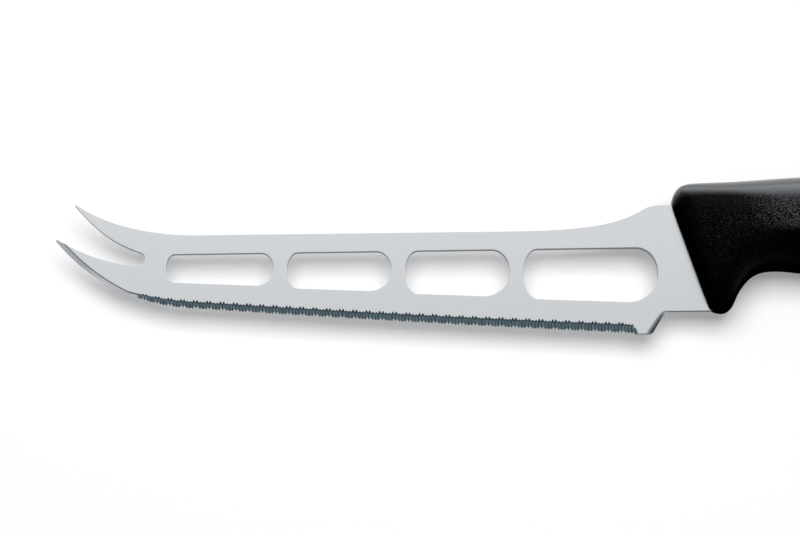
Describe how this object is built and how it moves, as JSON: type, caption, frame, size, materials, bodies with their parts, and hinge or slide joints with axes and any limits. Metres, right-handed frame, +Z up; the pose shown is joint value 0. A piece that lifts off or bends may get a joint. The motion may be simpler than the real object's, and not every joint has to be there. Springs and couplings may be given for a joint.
{
  "type": "cheese knife",
  "caption": "Cheese knife with a forked, serrated steel blade, open windows that stop slices sticking, and a black moulded handle with a finger guard",
  "frame": {"origin": "middle of the underside of the knife as it lies on its side", "axes": "+X along the knife towards the butt of the handle, +Y across it towards the spine, +Z up through the thickness, on the serrated side"},
  "size_m": [0.2866, 0.0408, 0.017],
  "materials": {
    "steel": "fine satin, ground serrated edge",
    "plastic": "fine grain, smooth band round the front"
  },
  "bodies": {
    "root": {"blade": "steel", "handle": "plastic"}
  },
  "joints": []
}
